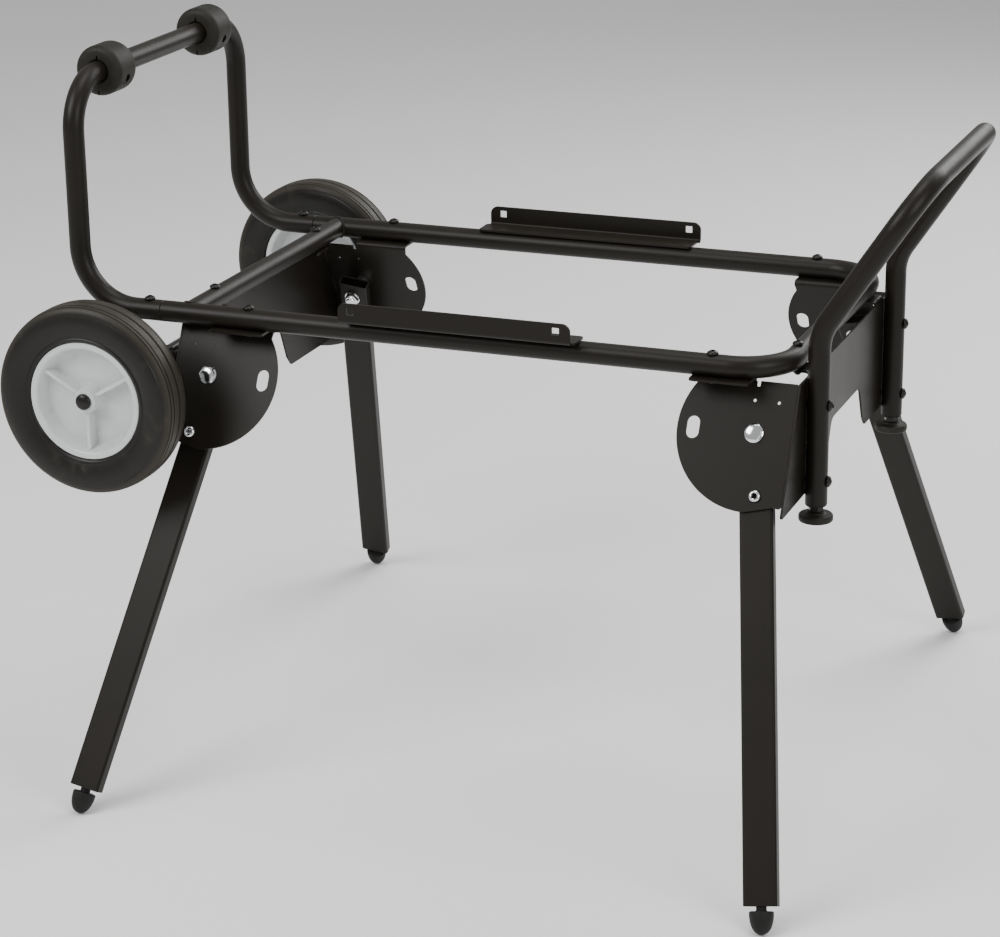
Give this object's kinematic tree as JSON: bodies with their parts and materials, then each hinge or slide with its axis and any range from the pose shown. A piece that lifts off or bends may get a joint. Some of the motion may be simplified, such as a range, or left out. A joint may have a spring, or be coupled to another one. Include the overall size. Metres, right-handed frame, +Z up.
{
  "type": "saw stand",
  "caption": "Folding wheeled saw stand: round-tube frame with splayed folding legs, toe loop, lift handle, rubber-tyred wheels and saw brackets.",
  "frame": {"origin": "on the floor, under the middle of the bounding box", "axes": "+Z up, +X from the wheel end to the handle end, +Y from the front side to the back side"},
  "size_m": [1.0608, 0.9334, 0.8468],
  "materials": {
    "powder_coat": "satin black-brown powder coat",
    "black_steel": "black oxide, semi-gloss",
    "zinc": "bright zinc plate",
    "tyre_rubber": "matt black rubber",
    "foot_rubber": "matt black rubber",
    "hub_plastic": "light grey moulded plastic",
    "black_plastic": "black moulded plastic"
  },
  "bodies": {
    "frame": {"main_frame_tube": "powder_coat", "left_cross_tube": "powder_coat", "toe_loop_tube": "powder_coat", "handle_tube": "powder_coat", "left_end_panel": "powder_coat", "right_end_panel": "powder_coat", "leg_plate_front_left": "powder_coat", "leg_plate_front_right": "powder_coat", "leg_plate_back_left": "powder_coat", "leg_plate_back_right": "powder_coat", "saw_bracket_front": "powder_coat", "saw_bracket_back": "powder_coat", "axle_bracket_front": "powder_coat", "axle_bracket_back": "powder_coat", "toe_loop_bolt_front": "black_steel", "toe_loop_bolt_back": "black_steel", "left_cross_bolt_front": "black_steel", "left_cross_bolt_back": "black_steel", "left_plate_bolt_front": "black_steel", "left_plate_bolt_back": "black_steel", "right_plate_bolt_front": "black_steel", "right_plate_bolt_back": "black_steel", "right_cross_bolt_front": "black_steel", "right_cross_bolt_back": "black_steel", "post_bolt_front_upper": "black_steel", "post_bolt_front_lower": "black_steel", "post_bolt_back_upper": "black_steel", "post_bolt_back_lower": "black_steel", "pivot_bolt_front_left": "zinc", "pivot_bolt_front_right": "zinc", "pivot_bolt_back_left": "zinc", "pivot_bolt_back_right": "zinc", "pivot_spacer_front_left": "zinc", "pivot_spacer_back_left": "zinc", "wheel_axle": "black_steel", "axle_cap_back": "black_steel", "collar_front_inner_half": "black_plastic", "collar_front_outer_half": "black_plastic", "collar_back_inner_half": "black_plastic", "collar_back_outer_half": "black_plastic"},
    "leg_front_left": {"leg_tube_front_left": "powder_coat", "leg_foot_front_left": "foot_rubber"},
    "button_front_left": {"lock_button_front_left": "zinc"},
    "leg_front_right": {"leg_tube_front_right": "powder_coat", "leg_foot_front_right": "foot_rubber"},
    "button_front_right": {"lock_button_front_right": "zinc"},
    "leg_back_left": {"leg_tube_back_left": "powder_coat", "leg_foot_back_left": "foot_rubber"},
    "button_back_left": {"lock_button_back_left": "zinc"},
    "leg_back_right": {"leg_tube_back_right": "powder_coat", "leg_foot_back_right": "foot_rubber"},
    "button_back_right": {"lock_button_back_right": "zinc"},
    "wheel_front": {"tyre_front": "tyre_rubber", "wheel_hub_front": "hub_plastic"},
    "wheel_back": {"tyre_back": "tyre_rubber", "wheel_hub_back": "hub_plastic"},
    "foot_front": {"levelling_stud_front": "black_steel", "levelling_pad_front": "black_plastic"},
    "foot_back": {"levelling_stud_back": "black_steel", "levelling_pad_back": "black_plastic"}
  },
  "joints": [
    {"name": "leg_fold_front_left", "type": "hinge", "parent": "frame", "child": "leg_front_left", "pos_m": [-0.314, -0.2247, 0.4823], "axis": [0, -0.8889, 0.458], "range_deg": [0, 103.2], "deforming": ["lock_button_front_left"]},
    {"name": "leg_fold_front_right", "type": "hinge", "parent": "frame", "child": "leg_front_right", "pos_m": [0.3498, -0.2247, 0.4823], "axis": [0, 0.8889, -0.458], "range_deg": [0, 95.2], "deforming": ["lock_button_front_right"]},
    {"name": "leg_fold_back_left", "type": "hinge", "parent": "frame", "child": "leg_back_left", "pos_m": [-0.314, 0.2247, 0.4823], "axis": [0, -0.8889, -0.458], "range_deg": [0, 103.2], "deforming": ["lock_button_back_left"]},
    {"name": "leg_fold_back_right", "type": "hinge", "parent": "frame", "child": "leg_back_right", "pos_m": [0.3498, 0.2247, 0.4823], "axis": [0, 0.8889, 0.458], "range_deg": [0, 95.2], "deforming": ["lock_button_back_right"]},
    {"name": "button_press_front_left", "type": "slide", "parent": "leg_front_left", "child": "button_front_left", "axis": [0, 0.8889, -0.458], "range_m": [0, 0.0066], "stiffness_N_per_m": 800},
    {"name": "button_press_front_right", "type": "slide", "parent": "leg_front_right", "child": "button_front_right", "axis": [0, 0.8889, -0.458], "range_m": [0, 0.0066], "stiffness_N_per_m": 800},
    {"name": "button_press_back_left", "type": "slide", "parent": "leg_back_left", "child": "button_back_left", "axis": [0, -0.8889, -0.458], "range_m": [0, 0.0066], "stiffness_N_per_m": 800},
    {"name": "button_press_back_right", "type": "slide", "parent": "leg_back_right", "child": "button_back_right", "axis": [0, -0.8889, -0.458], "range_m": [0, 0.0066], "stiffness_N_per_m": 800},
    {"name": "wheel_spin_front", "type": "hinge", "parent": "frame", "child": "wheel_front", "pos_m": [-0.4176, -0.3161, 0.4724], "axis": [0, 1, 0], "continuous": true},
    {"name": "wheel_spin_back", "type": "hinge", "parent": "frame", "child": "wheel_back", "pos_m": [-0.4176, 0.3161, 0.4724], "axis": [0, 1, 0], "continuous": true},
    {"name": "foot_level_front", "type": "slide", "parent": "frame", "child": "foot_front", "axis": [0, 0, -1], "range_m": [-0.0008, 0.01]},
    {"name": "foot_level_back", "type": "slide", "parent": "frame", "child": "foot_back", "axis": [0, 0, -1], "range_m": [-0.0008, 0.01]}
  ]
}
